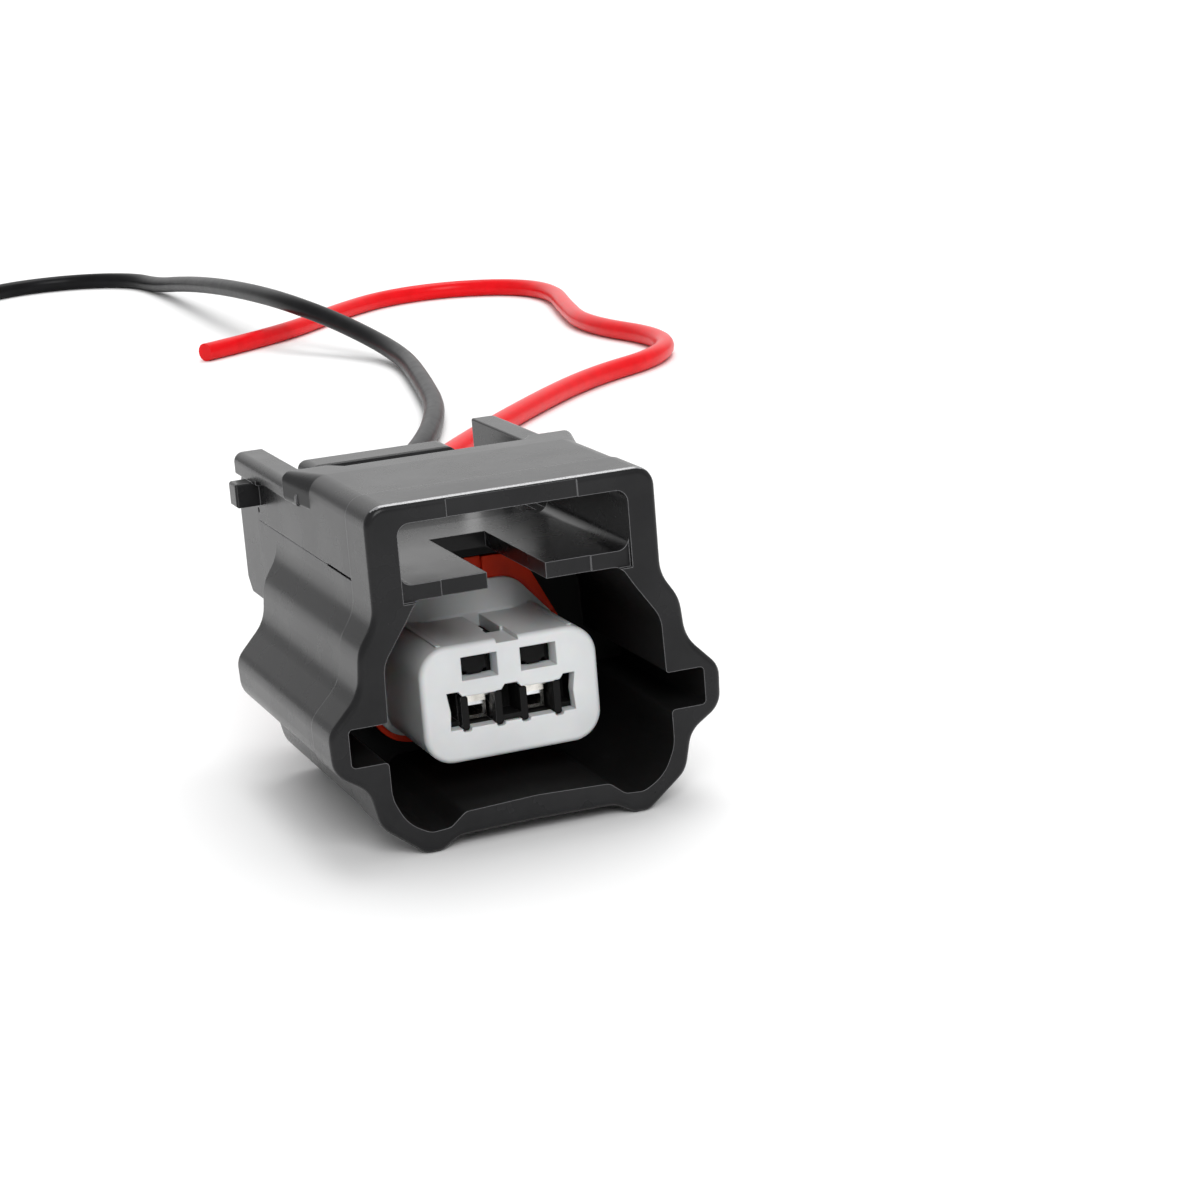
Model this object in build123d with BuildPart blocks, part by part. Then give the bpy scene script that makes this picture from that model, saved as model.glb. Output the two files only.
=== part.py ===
"""Prewired two-way connector plug, socket half.

Millimetres. +Z up, +Y towards the wires, +X to the right as seen from the front rim.
The origin is under the middle of the housing, on the surface that its two feet stand on.
Lengths along the plug are measured from the front rim, by rim_plane().
"""

from build123d import *
from math import tan, radians
import os

# Overall
body_length = 34.0
clearance = 0.08            # between moulded pieces that push together
crimp_gap = 0.02            # between pieces that are squeezed together
overlap = 0.6               # how far one volume of a moulding reaches into the next

# Hood, the flared front of the housing
roof_half = 10.2            # half the width across the flat side walls
roof_top = 24.0
roof_corner = 1.45
side_foot = 16.4            # the flat sides end here and the shoulders begin
shoulder_half = 11.45
shoulder_height = 14.5
waist_half = 11.7           # narrowest place above the bulges
waist_height = 11.7
bulge_half = 14.0           # half the width across the two keyway bulges
bulge_top = 9.3
bulge_bottom = 6.5
belly_half = 11.6           # narrowest place below the bulges
belly_waist = 5.0
corner_half = 11.0
corner_height = 2.3
foot_outer = 8.1
foot_inner = 7.0
belly_height = 0.9          # the middle of the underside is raised between the feet
hood_length = 24.4
rim_round = 0.5
collar_length = 4.6         # front band that ends at a fine step round the hood
collar_step = 0.1

# Cavity that takes the mating half
cavity_depth = 15.6
rear_wall = 1.6
deck_top = 18.4
deck_thickness = 1.1
deck_setback = 0.4          # the deck starts this far behind the rim
hood_wall = 1.75
floor_wall = 1.6
keyway_wall = 1.3
keyway_half = bulge_half - keyway_wall
keyway_top = bulge_top + 0.2
keyway_bottom = bulge_bottom + 0.35
ledge_half = 7.3            # half the width of the cavity's flat top
ledge_drop = 1.3
slot_half = 2.07            # slot in the deck, open to the front
slot_length = 12.7
arm_root_bottom = 16.75

# Tunnel under the roof
tunnel_half = 8.1
tunnel_top = 22.6
tunnel_corner = 0.85
roof_length = 16.0
flare_start = 13.6
ear_length = 17.4           # the roof's rear corners reach back past its middle,
ear_flare = 0.85            # stand this far out
ear_drop = 0.1              # and end a little lower
ear_inner = 7.6
ear_slant = 0.9
groove_gap = 0.12           # shadow gap between the roof's corner and the wall below it
brow_half = 4.6             # shallow recess in the front of the roof
lip_half = 5.3              # and in the front of the deck
recess_depth = 0.1

# Side walls, guard rails and lugs
wall_top = 21.45
wall_bottom = 12.0
wall_thickness = 1.3
wall_slope = 1.8            # the walls' upper rear corners are cut off this far
wall_step = 1.0
line_height = 18.3          # fine line along both sides
line_width = 0.07
line_depth = 0.06
slot_end = 10.7             # the line's front stretch is a deeper slot
side_slot_width = 0.2
side_slot_depth = 0.4
rail_inner = 8.3
rail_outer = 10.6
rail_top = 22.85
rail_thickness = 1.25
rail_round = 0.7
rail_edge = 0.15
post_start = 26.6
post_end = 32.4
lug_reach = 1.7
lug_length = 1.9
lug_height = 1.8
lug_start = 27.6
lug_bottom = 19.55
lug_round = 0.15
pin_hole_start = 28.4
pin_hole_height = 19.1
pin_hole_diameter = 0.45
pin_hole_depth = 0.5

# Lock arm with its press pad
arm_half = 6.6
arm_thickness = 1.5
arm_slit = 0.9
pad_half = 5.8
pad_top = 21.6
pad_start = 28.6
pad_slope = 1.6             # length of the slope up to the pad
pad_end = 32.4
pad_round = 0.8
grip_count = 3              # shallow hollows on the pad's front slope
grip_width = 2.4
grip_length = 2.2
grip_pitch = 3.3
grip_depth = 0.15

# Terminal axes
pitch = 4.26
axis_height = 8.15
rear_tower_length = 32.0    # rim to the rear face of the tower
rear_tower_half = 6.4
rear_tower_bottom = 4.3
rear_tower_top = 12.6
rear_tower_round = 2.2
bore_diameter = 3.7
bore_start = 13.0
rib_width = 1.1

# Nose of the tower, inside the retainer
nose_start = 4.8
nose_half = 5.2
nose_bottom = 6.1
nose_top = 11.95
nose_round = 1.1
channel_width = 2.1
channel_height = 2.25
lance_width = 1.75
lance_height = 1.45
lance_tip_length = 1.5
lance_beam_thickness = 0.8
lance_length = 7.2
lance_slot_gap = 0.22
lance_tip_slope = 0.55
post_length = 0.85
post_width = 0.5
post_top = 9.35
post_drop = 0.25            # the posts' rounded feet reach below the entries
post_round = 0.2
mouth_width = 1.94
sill_height = 0.35
hollow_width = 1.0          # hollows outside the outer posts
hollow_height = 2.0
hollow_depth = 1.5
outer_hollow = pitch / 2 + mouth_width / 2 + post_width + hollow_width / 2 + 0.05

# Front retainer
retainer_start = 3.7
retainer_half = 6.42
retainer_bottom = 4.7
retainer_top = 12.92
retainer_corner = 2.1
retainer_front_wall = 1.0
retainer_soft_edge = 0.4
skirt_plane = 13.2
skirt_half = 7.0
skirt_bottom = 4.55
skirt_top = 14.9
skirt_shoulder = 3.9        # half the width of the skirt's flat top
skirt_waist = 11.3
skirt_corner = 2.3
skirt_rim = 0.3
skirt_length = 1.6
skirt_angle = 48
lip_depth = 0.6             # the retainer's upper lip reaches this far over the nose's front
window_half = 4.65
window_bottom = 7.05
window_top = 9.7
window_lintel = 9.3         # the window is lower over each terminal
probe_width = 2.6
probe_height = 1.65
probe_bottom = 10.4
lip_bottom = probe_bottom - 0.1
lance_bottom = probe_bottom + clearance
groove_width = 1.6
groove_depth = 0.3
keyhole_width = 1.25
keyhole_start = 6.9
keyhole_end = 11.3
ridge_width = 0.35
ridge_height = 0.04
ridge_offset = 4.75
ridge_start = 4.3

# Ring seal
seal_half = 7.5
seal_top = 16.5
seal_bottom = 3.95
seal_shoulder = 4.6
seal_waist = 10.7
seal_corner = 3.2
seal_thickness = 1.9
seal_groove = 0.35
seal_lip = 0.8
seal_notch = 3.6

# Terminals, folded from sheet
sheet = 0.25
box_width = 1.8
box_height = 2.0
box_start = 5.1
box_length = 6.6
barrel_start = 14.0
barrel_length = 3.0
barrel_width = 2.2
wing_start = 18.3
wing_length = 2.4
wing_outer = 3.5
lip_height = 0.45           # the box's top edge is folded down at its mouth
mouth_cut = 0.8             # the box's sides start this far behind that edge
tongue_width = 1.15
tongue_length = 4.4
tongue_drop = 0.75
tongue_setback = 0.35
tongue_fold = 0.65          # height of the leaf's folded front end
leaf_flat = 0.8             # flat ends of the bowed leaf
leaf_sheet = 0.2
seam_width = 0.2
fold_step = 0.05            # small step where a flat floor turns into a rolled barrel

# Wires
wire_diameter = 2.6
conductor_diameter = 1.6
strip_plane = 18.15         # where the insulation is cut back
brush_plane = 13.5          # front end of the bare strands
seal_neck_diameter = 3.06
seal_neck_start = 18.5
seal_body_start = 21.2
seal_body_end = 29.0
seal_body_diameter = 3.2
seal_rib_diameter = 3.66
seal_rib_count = 3
seal_rib_width = 0.9
seal_rib_pitch = (seal_body_end - seal_body_start) / seal_rib_count
crossing_height = 6.9       # axis of the upper wire where it passes over the other

terminals = {"left": -pitch / 2, "right": pitch / 2}
barrel_floor = axis_height - conductor_diameter / 2 - sheet - crimp_gap - fold_step
wing_floor = axis_height - wing_outer / 2 + fold_step
box_axis = barrel_floor + box_height / 2     # one flat floor runs through box, neck and barrel
os.makedirs("parts", exist_ok=True)


def rim_plane(distance):
    """Plane across the plug, that far behind the front rim, with x to the right and y up."""
    return Plane.XZ.offset(body_length / 2 - distance)


def side_plane(x):
    """Plane along the plug at that x, with x towards the wires and y up."""
    return Plane.YZ.offset(x)


def rim_y(distance):
    """Model y of a distance behind the front rim."""
    return distance - body_length / 2


def hood_outline(growth=0.0):
    """Closed outline of the hood, made from its right half."""
    g = growth
    with BuildSketch(mode=Mode.PRIVATE) as outline:
        with BuildLine():
            FilletPolyline(
                (0, roof_top + g),
                (roof_half + g, roof_top + g),
                (roof_half + g, side_foot),
                (shoulder_half + g, shoulder_height),
                (waist_half + g, waist_height),
                (bulge_half + g, bulge_top + g),
                (bulge_half - 0.1 + g, bulge_bottom - g),
                (belly_half + g, belly_waist - g),
                (corner_half + g, corner_height - g),
                (foot_outer + g, 0),
                (foot_inner, 0),
                (0.8 * foot_inner, belly_height - 0.1),
                (0, belly_height),
                radius=[roof_corner + g, 3.0, 3.0, 3.0, 1.6, 1.8, 2.0, 2.0, 1.0, 0.7, 1.5],
            )
            mirror(about=Plane.YZ)
        make_face()
    return outline.sketch


def cavity_outline():
    """Closed outline of the cavity with its two keyways, made from its right half."""
    top = deck_top - deck_thickness
    side = waist_half - hood_wall
    with BuildSketch(mode=Mode.PRIVATE) as outline:
        with BuildLine():
            FilletPolyline(
                (0, top),
                (ledge_half, top),
                (roof_half - 2.1, top - ledge_drop),
                (side - 0.1, waist_height + hood_wall),
                (side, keyway_top),
                (keyway_half, keyway_top),
                (keyway_half, keyway_bottom),
                (side + 0.2, keyway_bottom),
                (side + 0.2, belly_waist - 0.7),
                (side - 0.7, corner_height + 0.05),
                (foot_outer - 0.4, floor_wall - 0.1),
                (foot_inner - 0.7, floor_wall),
                (foot_inner - 1.8, belly_height + floor_wall),
                (0, belly_height + floor_wall + 0.2),
                radius=[0.8, 0.8, 2.4, 0.2, 0.3, 0.3, 0.3, 3.0, 3.0, 1.2, 0.8, 0.8],
            )
            mirror(about=Plane.YZ)
        make_face()
    return outline.sketch


def humped_outline(half, bottom, top, shoulder, waist, corner):
    """Outline of the skirt and the ring seal: above the waist the sides lean in to a narrower top."""
    with BuildSketch(mode=Mode.PRIVATE) as outline:
        with BuildLine():
            FilletPolyline(
                (0, top),
                (shoulder, top),
                (half, waist),
                (half, bottom),
                (0, bottom),
                radius=[corner, corner, corner],
            )
            mirror(about=Plane.YZ)
        make_face()
    return outline.sketch


def brow_outline(growth, drop, top_round, bottom_round):
    """Outline of the roof and its two corners, down to the shadow gap."""
    half = roof_half - collar_step + growth
    with BuildSketch(mode=Mode.PRIVATE) as outline:
        with BuildLine():
            FilletPolyline(
                (0, roof_top - collar_step - drop),
                (half, roof_top - collar_step - drop),
                (half, wall_top + groove_gap),
                (0, wall_top + groove_gap),
                radius=[top_round, bottom_round],
            )
            mirror(about=Plane.YZ)
        make_face()
    return outline.sketch


def block_outline(half, bottom, top, corner):
    """Rounded rectangle that is centred on the plug's middle plane."""
    with BuildSketch(mode=Mode.PRIVATE) as outline:
        with Locations((0, (top + bottom) / 2)):
            RectangleRounded(2 * half, top - bottom, corner)
    return outline.sketch


# Housing: hood, roof, deck, tower, walls, rails and lock arm in one moulding
post_offset = (mouth_width + post_width) / 2
post_height = post_top - window_bottom + post_drop - 2 * clearance
post_middle = (post_top + window_bottom - post_drop) / 2
post_inner = pitch / 2 - mouth_width / 2 - post_width
post_outer = pitch / 2 + mouth_width / 2 + post_width
seal_seat = rim_plane(cavity_depth)
seal_outline = humped_outline(seal_half, seal_bottom, seal_top, seal_shoulder, seal_waist, seal_corner)
skirt_outline = humped_outline(
    skirt_half, skirt_bottom, skirt_top, skirt_shoulder, skirt_waist, skirt_corner
)
nose_hollow = block_outline(
    nose_half + clearance, nose_bottom - clearance, nose_top + clearance, nose_round + clearance
)
rear_tower_outline = block_outline(rear_tower_half, rear_tower_bottom, rear_tower_top, rear_tower_round)
with BuildPart() as housing:
    # the hood, and the collar that ends at a fine step
    with BuildSketch(rim_plane(0)):
        add(hood_outline(-collar_step))
    extrude(amount=-hood_length)
    with BuildSketch(rim_plane(0)):
        add(hood_outline())
    extrude(amount=-collar_length)
    # behind the roof the hood is open above the deck
    with BuildSketch(rim_plane(roof_length)):
        with Locations((0, wall_top)):
            Rectangle(4 * roof_half, roof_top, align=(Align.CENTER, Align.MIN))
        with Locations((0, deck_top)):
            Rectangle(2 * rail_inner, roof_top, align=(Align.CENTER, Align.MIN))
    extrude(amount=roof_length - hood_length, mode=Mode.SUBTRACT)
    # the roof's rear corners flare out into ears, and its middle ends before them
    with BuildSketch(rim_plane(flare_start)):
        add(brow_outline(0, 0, roof_corner - collar_step, rail_edge))
    with BuildSketch(rim_plane(ear_length)):
        add(brow_outline(ear_flare, ear_drop, rail_round, overlap))
    loft()
    with BuildSketch(Plane.XY.offset(wall_top)):
        with BuildLine():
            Polyline(
                (0, rim_y(roof_length)),
                (ear_inner - ear_slant, rim_y(roof_length)),
                (ear_inner, rim_y(ear_length)),
                (ear_inner, rim_y(hood_length)),
                (0, rim_y(hood_length)),
            )
            mirror(about=Plane.YZ)
        make_face()
    extrude(amount=roof_top - wall_top, mode=Mode.SUBTRACT)
    # guard walls beside the wires
    with BuildSketch(side_plane(roof_half - collar_step)):
        with BuildLine():
            FilletPolyline(
                (rim_y(hood_length - overlap), wall_bottom),
                (rim_y(body_length - wall_step), wall_bottom),
                (rim_y(body_length), wall_bottom + wall_step),
                (rim_y(body_length), wall_top - wall_slope),
                (rim_y(body_length - wall_slope), wall_top),
                (rim_y(hood_length - overlap), wall_top),
                close=True,
                radius=[0, 0.4, 0.4, 0.6, 0.6, 0],
            )
        make_face()
    extrude(amount=-wall_thickness)
    # guard rails with their posts, and the lugs outside them
    with BuildSketch(rim_plane(roof_length - overlap)):
        with BuildLine():
            FilletPolyline(
                (rail_inner, rail_top),
                (rail_outer, rail_top),
                (rail_outer, rail_top - rail_thickness),
                (rail_inner, rail_top - rail_thickness),
                close=True,
                radius=[rail_edge, rail_round, rail_edge, rail_edge],
            )
        make_face()
    extrude(amount=roof_length - overlap - post_end)
    with BuildSketch(rim_plane(post_start)):
        with BuildLine():
            FilletPolyline(
                (rail_inner, rail_top),
                (rail_outer, rail_top),
                (rail_outer, wall_top - 0.2),
                (roof_half - collar_step, wall_top - 0.2),
                (roof_half - collar_step, deck_top),
                (rail_inner, deck_top),
                close=True,
                radius=[rail_edge, rail_round, rail_edge, 0, 0, 0],
            )
        make_face()
    extrude(amount=post_start - post_end)
    with BuildSketch(side_plane(roof_half - overlap)):
        with Locations((rim_y(lug_start) + lug_length / 2, lug_bottom + lug_height / 2)):
            RectangleRounded(lug_length, lug_height, lug_round)
    extrude(amount=lug_reach + overlap - lug_round)
    with BuildSketch(side_plane(roof_half + lug_reach - lug_round)):
        with Locations((rim_y(lug_start) + lug_length / 2, lug_bottom + lug_height / 2)):
            RectangleRounded(lug_length, lug_height, lug_round)
    extrude(amount=lug_round, taper=40)
    mirror(about=Plane.YZ)
    # the tower, the cavity with its keyways, and the tunnel under the roof
    with BuildSketch(seal_seat):
        add(rear_tower_outline)
    extrude(amount=cavity_depth - rear_tower_length)
    with BuildSketch(rim_plane(0)):
        add(cavity_outline())
    extrude(amount=-cavity_depth, mode=Mode.SUBTRACT)
    with BuildSketch(rim_plane(0)):
        add(block_outline(tunnel_half, deck_top, tunnel_top, tunnel_corner))
    extrude(amount=-ear_length - overlap, mode=Mode.SUBTRACT)
    # pockets behind the cavity, each side of the tower, with ribs between
    with BuildSketch(rim_plane(hood_length)):
        add(cavity_outline())
        add(rear_tower_outline, mode=Mode.SUBTRACT)
        with Locations((0, axis_height)):
            Rectangle(4 * roof_half, rib_width, mode=Mode.SUBTRACT)
        with Locations((0, rear_tower_bottom)):
            Rectangle(rib_width, rear_tower_bottom * 2, mode=Mode.SUBTRACT)
    extrude(amount=hood_length - cavity_depth - rear_wall, mode=Mode.SUBTRACT)
    # fine line and deeper slot along both sides, and a pin hole below each lug
    wall_face = roof_half - collar_step
    with BuildSketch(rim_plane(collar_length)):
        with Locations((wall_face, line_height), (-wall_face, line_height)):
            Rectangle(2 * line_depth, line_width)
    extrude(amount=collar_length - pin_hole_start, mode=Mode.SUBTRACT)
    with BuildSketch(rim_plane(collar_length)):
        with Locations((wall_face, line_height), (-wall_face, line_height)):
            Rectangle(2 * side_slot_depth, side_slot_width)
    extrude(amount=collar_length - slot_end, mode=Mode.SUBTRACT)
    for x in (wall_face, -wall_face):
        with BuildSketch(side_plane(x)):
            with Locations((rim_y(pin_hole_start), pin_hole_height)):
                Circle(pin_hole_diameter / 2)
        extrude(amount=pin_hole_depth, both=True, mode=Mode.SUBTRACT)
    # the deck's setback, its slot and the root of the lock arm behind the slot
    with BuildSketch(rim_plane(0)):
        with Locations((0, deck_top)):
            Rectangle(2 * tunnel_half, 2 * (deck_thickness + clearance))
    extrude(amount=-deck_setback, mode=Mode.SUBTRACT)
    with BuildSketch(rim_plane(deck_setback)):
        with Locations((0, deck_top)):
            Rectangle(2 * lip_half, 2 * (deck_thickness + clearance))
    extrude(amount=-recess_depth, mode=Mode.SUBTRACT)
    with BuildSketch(Plane.XY.offset(arm_root_bottom)):
        with Locations((0, rim_y(0))):
            Rectangle(2 * slot_half, 2 * slot_length)
    extrude(amount=deck_top - arm_root_bottom + overlap, mode=Mode.SUBTRACT)
    with BuildSketch(rim_plane(slot_length)):
        with Locations((0, arm_root_bottom)):
            Rectangle(2 * arm_half, deck_top - arm_root_bottom, align=(Align.CENTER, Align.MIN))
    extrude(amount=slot_length - hood_length)
    # the lock arm runs back from the deck to the press pad
    with BuildSketch(side_plane(0)):
        with BuildLine():
            FilletPolyline(
                (rim_y(cavity_depth + rear_wall), deck_top),
                (rim_y(pad_start - 0.7 * pad_slope), deck_top),
                (rim_y(pad_start + 0.3 * pad_slope), pad_top),
                (rim_y(pad_end), pad_top),
                (rim_y(pad_end), deck_top - arm_thickness),
                (rim_y(cavity_depth + rear_wall), deck_top - arm_thickness),
                close=True,
                radius=[0, 0.8, 0.4, 0.4, 0.3, 0],
            )
        make_face()
    extrude(amount=pad_half, both=True)
    # its pad has rounded ends, and hollows along the front edge for grip
    with BuildSketch(rim_plane(pad_start - pad_slope)):
        with Locations((0, deck_top)):
            Rectangle(2 * pad_half + overlap, pad_top, align=(Align.CENTER, Align.MIN))
        add(block_outline(pad_half, arm_root_bottom, pad_top, pad_round), mode=Mode.SUBTRACT)
    extrude(amount=pad_start - pad_slope - body_length, mode=Mode.SUBTRACT)
    slope_middle = (0, rim_y(pad_start - 0.2 * pad_slope), (deck_top + pad_top) / 2)
    slope_normal = (0, deck_top - pad_top, pad_slope)
    with BuildSketch(Plane(origin=slope_middle, x_dir=(1, 0, 0), z_dir=slope_normal)):
        with GridLocations(grip_pitch, 1, grip_count, 1):
            Rectangle(grip_width, grip_length)
    extrude(amount=-grip_depth, mode=Mode.SUBTRACT)
    # slits free the arm from the guard walls
    with BuildSketch(Plane.XY.offset(arm_root_bottom - overlap)):
        with Locations((0, rim_y(roof_length + wall_step))):
            with GridLocations(2 * arm_half + arm_slit, 1, 2, 1):
                Rectangle(arm_slit, body_length, align=(Align.CENTER, Align.MIN))
    extrude(amount=deck_top - arm_root_bottom + 2 * overlap, mode=Mode.SUBTRACT)
    # seat of the ring seal and the nose that carries the retainer
    with BuildSketch(seal_seat):
        offset(seal_outline, amount=-seal_thickness)
    extrude(amount=cavity_depth - skirt_plane)
    with BuildSketch(seal_seat):
        add(block_outline(nose_half, nose_bottom, nose_top, nose_round))
    extrude(amount=cavity_depth - nose_start)
    # the nose is lower round the lances, where the retainer reaches in
    with BuildSketch(rim_plane(nose_start)):
        with Locations((0, lip_bottom - clearance)):
            Rectangle(2 * nose_half, nose_top - lip_bottom + overlap, align=(Align.CENTER, Align.MIN))
    extrude(amount=-lip_depth - clearance, mode=Mode.SUBTRACT)
    # terminal channels, seal bores, lance slots and the hollows beside the entries
    with BuildSketch(rim_plane(nose_start)):
        with Locations(*[(x, box_axis) for x in terminals.values()]):
            Rectangle(channel_width, channel_height)
    extrude(amount=nose_start - bore_start, mode=Mode.SUBTRACT)
    with BuildSketch(rim_plane(bore_start)):
        with Locations(*[(x, axis_height) for x in terminals.values()]):
            Circle(bore_diameter / 2)
    extrude(amount=bore_start - rear_tower_length, mode=Mode.SUBTRACT)
    with BuildSketch(rim_plane(nose_start)):
        with Locations(*[(x, axis_height) for x in terminals.values()]):
            Rectangle(
                lance_width + 2 * lance_slot_gap,
                nose_top - axis_height + overlap,
                align=(Align.CENTER, Align.MIN),
            )
    extrude(amount=-lance_length, mode=Mode.SUBTRACT)
    with BuildSketch(rim_plane(nose_start)):
        with Locations((0, post_top)):
            Rectangle(2 * post_inner, hollow_height, align=(Align.CENTER, Align.MAX))
        with Locations((outer_hollow, post_top), (-outer_hollow, post_top)):
            Rectangle(hollow_width, hollow_height, align=(Align.CENTER, Align.MAX))
    extrude(amount=-hollow_depth, mode=Mode.SUBTRACT)
    # lances, which hold the terminals from above
    with BuildSketch(rim_plane(nose_start + clearance)):
        for x in terminals.values():
            with BuildLine():
                Polyline(
                    (x - lance_width / 2, lance_bottom + lance_height),
                    (x + lance_width / 2, lance_bottom + lance_height),
                    (x + lance_width / 2, lance_bottom + lance_tip_slope),
                    (x + lance_width / 4, lance_bottom),
                    (x - lance_width / 4, lance_bottom),
                    (x - lance_width / 2, lance_bottom + lance_tip_slope),
                    close=True,
                )
            make_face()
    extrude(amount=-lance_tip_length)
    with BuildSketch(rim_plane(nose_start + clearance)):
        with Locations(*[(x, lance_bottom + lance_tip_slope / 2) for x in terminals.values()]):
            Rectangle(lance_width, lance_beam_thickness, align=(Align.CENTER, Align.MIN))
    extrude(amount=-lance_length)
    # entry posts in front of the nose
    with BuildSketch(rim_plane(nose_start)):
        for x in terminals.values():
            for side in (-1, 1):
                with Locations((x + side * post_offset, post_middle)):
                    RectangleRounded(post_width, post_height, post_round)
        with Locations((0, window_bottom + clearance)):
            Rectangle(pitch - mouth_width, sill_height, align=(Align.CENTER, Align.MIN))
    extrude(amount=post_length)
    # rounded outer edge of the rim, then the shallow recess in the roof's front
    rim_face = housing.faces().filter_by(Axis.Y).sort_by(Axis.Y).first
    fillet(rim_face.outer_wire().edges(), radius=rim_round)
    with BuildSketch(rim_plane(0)):
        with Locations((0, roof_top)):
            Rectangle(2 * brow_half, 2 * (roof_top - tunnel_top + clearance))
    extrude(amount=-recess_depth, mode=Mode.SUBTRACT)
housing.part.label = "housing"
export_step(housing.part, "parts/housing.step")

# Front retainer: a cap with windows, pushed over the nose, with a flared skirt behind
with BuildPart() as front_retainer:
    with BuildSketch(rim_plane(retainer_start)):
        add(block_outline(retainer_half, retainer_bottom, retainer_top, retainer_corner))
    extrude(amount=retainer_start - skirt_plane)
    fillet(front_retainer.faces().sort_by(Axis.Y).first.edges(), radius=retainer_soft_edge)
    with BuildSketch(rim_plane(skirt_plane - skirt_rim)):
        add(skirt_outline)
    extrude(amount=skirt_length, taper=skirt_angle)
    with BuildSketch(rim_plane(skirt_plane)):
        add(skirt_outline)
    extrude(amount=skirt_rim)
    # ridges along the top's shoulders
    with BuildSketch(rim_plane(ridge_start)):
        with Locations((ridge_offset, retainer_top), (-ridge_offset, retainer_top)):
            Rectangle(ridge_width, 2 * ridge_height)
    extrude(amount=ridge_start - skirt_plane)
    # hollow for the nose, with the lip that sits in front of the lances
    with BuildSketch(rim_plane(skirt_plane)):
        add(nose_hollow)
    extrude(amount=skirt_plane - retainer_start - retainer_front_wall - lip_depth, mode=Mode.SUBTRACT)
    with BuildSketch(rim_plane(skirt_plane)):
        add(nose_hollow)
        with Locations((0, lip_bottom)):
            Rectangle(4 * nose_half, nose_top, align=(Align.CENTER, Align.MIN), mode=Mode.SUBTRACT)
    extrude(amount=skirt_plane - retainer_start - retainer_front_wall, mode=Mode.SUBTRACT)
    # window of the two entries, lower over each terminal
    with BuildSketch(rim_plane(retainer_start)):
        with BuildLine():
            Polyline(
                (0, window_bottom),
                (window_half - 0.1, window_bottom),
                (window_half - 0.2, (window_bottom + window_top) / 2),
                (window_half, window_top),
                (post_outer + 0.2, window_top),
                (post_outer - 0.1, window_lintel),
                (post_inner + 0.1, window_lintel),
                (post_inner - 0.2, window_top),
                (0, window_top),
            )
            mirror(about=Plane.YZ)
        make_face()
        with Locations(*[(x, probe_bottom + probe_height / 2) for x in terminals.values()]):
            Rectangle(probe_width, probe_height)
        for x in terminals.values():
            with Locations((x - post_offset, post_middle), (x + post_offset, post_middle)):
                RectangleRounded(post_width + 2 * clearance, post_height + 2 * clearance, post_round)
    extrude(amount=-retainer_front_wall - lip_depth - clearance, mode=Mode.SUBTRACT)
    # groove and keyhole on top
    with BuildSketch(Plane.XY.offset(retainer_top - groove_depth)):
        with Locations((0, rim_y(retainer_start))):
            Rectangle(groove_width, 2 * (keyhole_start - retainer_start))
    extrude(amount=2 * groove_depth, mode=Mode.SUBTRACT)
    with BuildSketch(Plane.XY.offset(nose_top - groove_depth)):
        with Locations((0, rim_y(keyhole_start))):
            Rectangle(keyhole_width, keyhole_end - keyhole_start, align=(Align.CENTER, Align.MIN))
    extrude(amount=skirt_top, mode=Mode.SUBTRACT)
front_retainer.part.label = "front_retainer"
export_step(front_retainer.part, "parts/front_retainer.step")

# Ring seal round the foot of the tower, with a groove between its two lips
with BuildPart() as ring_seal:
    with BuildSketch(rim_plane(skirt_plane)):
        add(seal_outline)
        offset(seal_outline, amount=crimp_gap - seal_thickness, mode=Mode.SUBTRACT)
    extrude(amount=skirt_plane - cavity_depth)
    with BuildSketch(rim_plane(skirt_plane + seal_lip)):
        add(seal_outline)
        offset(seal_outline, amount=-seal_groove, mode=Mode.SUBTRACT)
    extrude(amount=skirt_plane + 2 * seal_lip - cavity_depth, mode=Mode.SUBTRACT)
    with BuildSketch(rim_plane(skirt_plane)):
        with Locations((0, seal_top)):
            Rectangle(seal_notch, seal_thickness)
    extrude(amount=-seal_lip / 2, mode=Mode.SUBTRACT)
ring_seal.part.label = "ring_seal"
export_step(ring_seal.part, "parts/ring_seal.step")

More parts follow.
